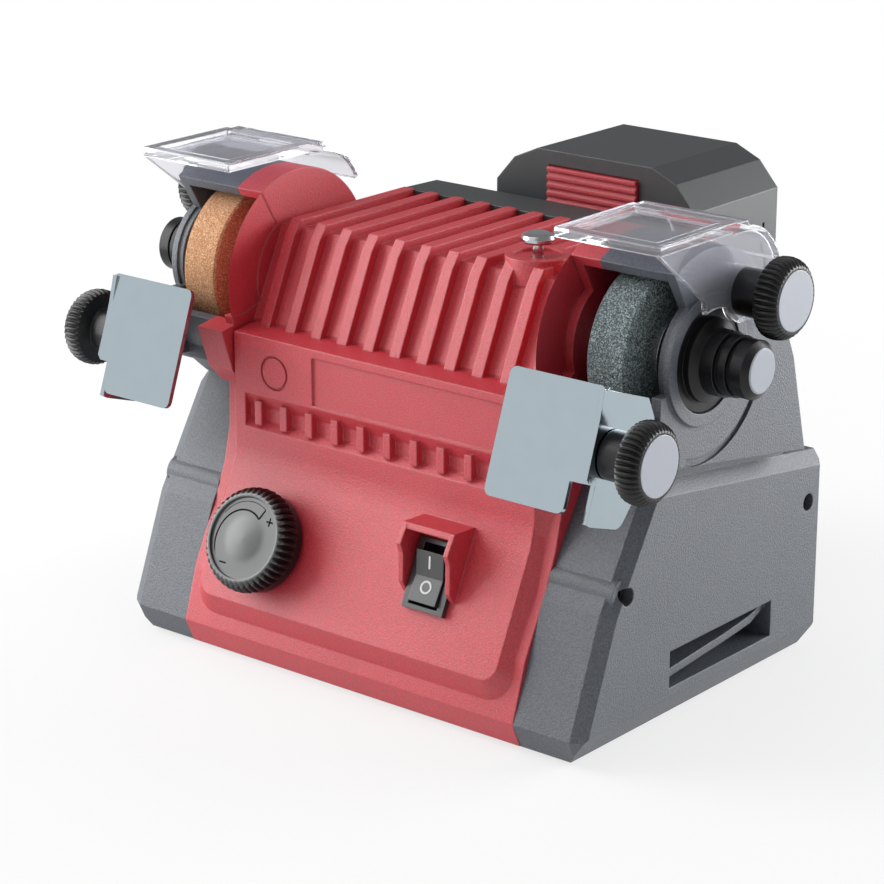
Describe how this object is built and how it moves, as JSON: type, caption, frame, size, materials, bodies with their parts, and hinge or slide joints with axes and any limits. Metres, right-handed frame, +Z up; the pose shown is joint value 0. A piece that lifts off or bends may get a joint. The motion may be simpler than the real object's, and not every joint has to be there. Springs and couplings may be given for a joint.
{
  "type": "cordless bench grinder",
  "caption": "Small cordless twin-wheel bench grinder with finned housing, tilting work rests, clear eye shields, speed dial, rocker switch, spindle lock and slide-on battery.",
  "frame": {"origin": "on the ground under the middle of the whole object's box, in the plane of the rubber feet", "axes": "+X to the right along the spindle, +Y to the back where the battery is, +Z up"},
  "size_m": [0.2252, 0.1756, 0.1483],
  "materials": {
    "red_plastic": "fine moulded grain",
    "dark_plastic": "fine moulded grain",
    "end_plastic": "coarse moulded grain",
    "black_plastic": "satin moulded",
    "rubber": "matt",
    "screw_steel": "blackened",
    "steel": "turned",
    "motor_steel": "zinc plated",
    "magnet": "sintered",
    "rotor": "laminated iron and varnished copper",
    "abrasive_grey": "open abrasive grain",
    "abrasive_brown": "open abrasive grain",
    "zinc_sheet": "smooth zinc plate",
    "clear": "clear polished",
    "knob_black": "satin moulded",
    "knob_disc": "satin",
    "chrome": "polished",
    "board": "solder mask",
    "cell": "shrink sleeve",
    "brass": "plated"
  },
  "bodies": {
    "housing": {"main_housing": "red_plastic", "rear_housing": "dark_plastic", "end_housing_right": "end_plastic", "end_housing_left": "end_plastic", "base_plate": "dark_plastic", "rubber_feet": "rubber", "housing_screws": "screw_steel", "motor_can": "motor_steel", "motor_magnets": "magnet", "spindle_bearings": "steel", "rest_bolts": "steel", "shield_bolts": "steel", "speed_pot": "board", "switch_body": "black_plastic", "lock_bush": "red_plastic", "lock_spring": "steel", "dock_terminals": "brass", "controller_board": "board"},
    "spindle_set": {"spindle": "steel", "rotor_stack": "rotor", "wheel_right": "abrasive_grey", "wheel_left": "abrasive_brown", "inner_flanges": "steel", "outer_flanges": "steel", "wheel_nuts": "steel"},
    "dial": {"speed_dial": "black_plastic", "dial_shaft": "steel"},
    "rocker": {"rocker": "black_plastic"},
    "lock": {"lock_pin": "chrome"},
    "battery": {"battery_case": "dark_plastic", "battery_cells": "cell", "battery_board": "board", "battery_terminals": "black_plastic"},
    "battery_release": {"battery_button": "red_plastic"},
    "cap_right": {"spindle_cap_right": "black_plastic"},
    "rest_right": {"work_rest_right": "zinc_sheet"},
    "shield_right": {"eye_shield_right": "clear"},
    "rest_clamp_right": {"rest_knob_right": "knob_black", "rest_knob_disc_right": "knob_disc"},
    "shield_clamp_right": {"shield_knob_right": "knob_black", "shield_knob_disc_right": "knob_disc"},
    "cap_left": {"spindle_cap_left": "black_plastic"},
    "rest_left": {"work_rest_left": "zinc_sheet"},
    "shield_left": {"eye_shield_left": "clear"},
    "rest_clamp_left": {"rest_knob_left": "knob_black", "rest_knob_disc_left": "knob_disc"},
    "shield_clamp_left": {"shield_knob_left": "knob_black", "shield_knob_disc_left": "knob_disc"}
  },
  "joints": [
    {"name": "spindle_spin", "type": "hinge", "parent": "housing", "child": "spindle_set", "pos_m": [0, -0.03063, 0.1105], "axis": [1, 0, 0], "continuous": true},
    {"name": "dial_turn", "type": "hinge", "parent": "housing", "child": "dial", "pos_m": [-0.0365, -0.07123, 0.0376], "axis": [0, -0.9039, 0.4277], "range_deg": [-270, 0]},
    {"name": "rocker_tilt", "type": "hinge", "parent": "housing", "child": "rocker", "pos_m": [0.0275, -0.06834, 0.04137], "axis": [1, 0, 0], "range_deg": [-18, 0]},
    {"name": "lock_press", "type": "slide", "parent": "housing", "child": "lock", "axis": [0, 0, -1], "range_m": [0, 0.0038], "stiffness_N_per_m": 500, "springref_m": -0.003, "deforming": ["lock_spring"]},
    {"name": "battery_slide", "type": "slide", "parent": "housing", "child": "battery", "axis": [0, 0, 1], "range_m": [0, 0.085]},
    {"name": "battery_press", "type": "slide", "parent": "battery", "child": "battery_release", "axis": [0, 1, 0], "range_m": [0, 0.0025], "stiffness_N_per_m": 600, "springref_m": -0.002},
    {"name": "cap_turn_right", "type": "hinge", "parent": "housing", "child": "cap_right", "pos_m": [0.1, -0.03063, 0.1105], "axis": [1, 0, 0], "range_deg": [0, 360]},
    {"name": "rest_tilt_right", "type": "hinge", "parent": "housing", "child": "rest_right", "pos_m": [0.076, -0.07323, 0.0935], "axis": [1, 0, 0], "range_deg": [-55, 20]},
    {"name": "shield_tilt_right", "type": "hinge", "parent": "housing", "child": "shield_right", "pos_m": [0.095, -0.01723, 0.1277], "axis": [1, 0, 0], "range_deg": [-30, 0]},
    {"name": "rest_knob_turn_right", "type": "hinge", "parent": "housing", "child": "rest_clamp_right", "pos_m": [0.1, -0.07323, 0.0935], "axis": [1, 0, 0], "range_deg": [0, 360]},
    {"name": "shield_knob_turn_right", "type": "hinge", "parent": "housing", "child": "shield_clamp_right", "pos_m": [0.105, -0.01723, 0.1277], "axis": [1, 0, 0], "range_deg": [0, 360]},
    {"name": "cap_turn_left", "type": "hinge", "parent": "housing", "child": "cap_left", "pos_m": [-0.1, -0.03063, 0.1105], "axis": [-1, 0, 0], "range_deg": [0, 360]},
    {"name": "rest_tilt_left", "type": "hinge", "parent": "housing", "child": "rest_left", "pos_m": [-0.076, -0.07323, 0.0935], "axis": [1, 0, 0], "range_deg": [-55, 20]},
    {"name": "shield_tilt_left", "type": "hinge", "parent": "housing", "child": "shield_left", "pos_m": [-0.095, -0.01723, 0.1277], "axis": [1, 0, 0], "range_deg": [-30, 0]},
    {"name": "rest_knob_turn_left", "type": "hinge", "parent": "housing", "child": "rest_clamp_left", "pos_m": [-0.1, -0.07323, 0.0935], "axis": [-1, 0, 0], "range_deg": [0, 360]},
    {"name": "shield_knob_turn_left", "type": "hinge", "parent": "housing", "child": "shield_clamp_left", "pos_m": [-0.105, -0.01723, 0.1277], "axis": [-1, 0, 0], "range_deg": [0, 360]}
  ]
}
